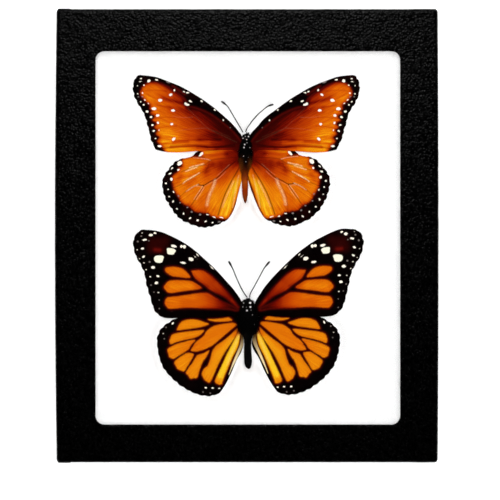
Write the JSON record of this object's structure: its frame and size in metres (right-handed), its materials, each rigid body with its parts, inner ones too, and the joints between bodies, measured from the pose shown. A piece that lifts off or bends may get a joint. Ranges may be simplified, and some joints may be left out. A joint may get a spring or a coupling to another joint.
{
  "type": "framed butterfly specimen",
  "caption": "Shallow glass-topped display box with a black leather-grain lid, holding spread butterflies pressed between the pane and a white fibre filling.",
  "frame": {"origin": "middle of the underside of the tray, on the surface that the box lies on", "axes": "+Z out of the back through the box towards its window, +Y towards the top of the picture and the butterflies' heads, +X to the right of the picture"},
  "size_m": [0.1216, 0.1442, 0.019],
  "materials": {
    "leatherette_board": "black paper embossed with a leather grain, satin, wrapped over board",
    "pane_glass": "clear flat window glass",
    "tray_board": "black paper over board, smoother than the lid",
    "white_fibre": "loose white fibre filling",
    "insect_body": "matt black fine hair with small white dots",
    "upper_wing": "matt scaled wing, red-brown to orange with a black margin and white spots",
    "lower_wing": "matt scaled wing, orange cells between black veins, black margin with white spots",
    "antenna": "thin black horn-like thread with a club"
  },
  "bodies": {
    "root": {"lid": "leatherette_board", "glass_pane": "pane_glass", "base_tray": "tray_board", "fibre_batting": "white_fibre", "upper_butterfly_body": "insect_body", "upper_butterfly_forewing_right": "upper_wing", "upper_butterfly_forewing_left": "upper_wing", "upper_butterfly_hindwing_right": "upper_wing", "upper_butterfly_hindwing_left": "upper_wing", "upper_butterfly_antenna_right": "antenna", "upper_butterfly_antenna_left": "antenna", "lower_butterfly_body": "insect_body", "lower_butterfly_forewing_right": "lower_wing", "lower_butterfly_forewing_left": "lower_wing", "lower_butterfly_hindwing_right": "lower_wing", "lower_butterfly_hindwing_left": "lower_wing", "lower_butterfly_antenna_right": "antenna", "lower_butterfly_antenna_left": "antenna"}
  },
  "joints": []
}
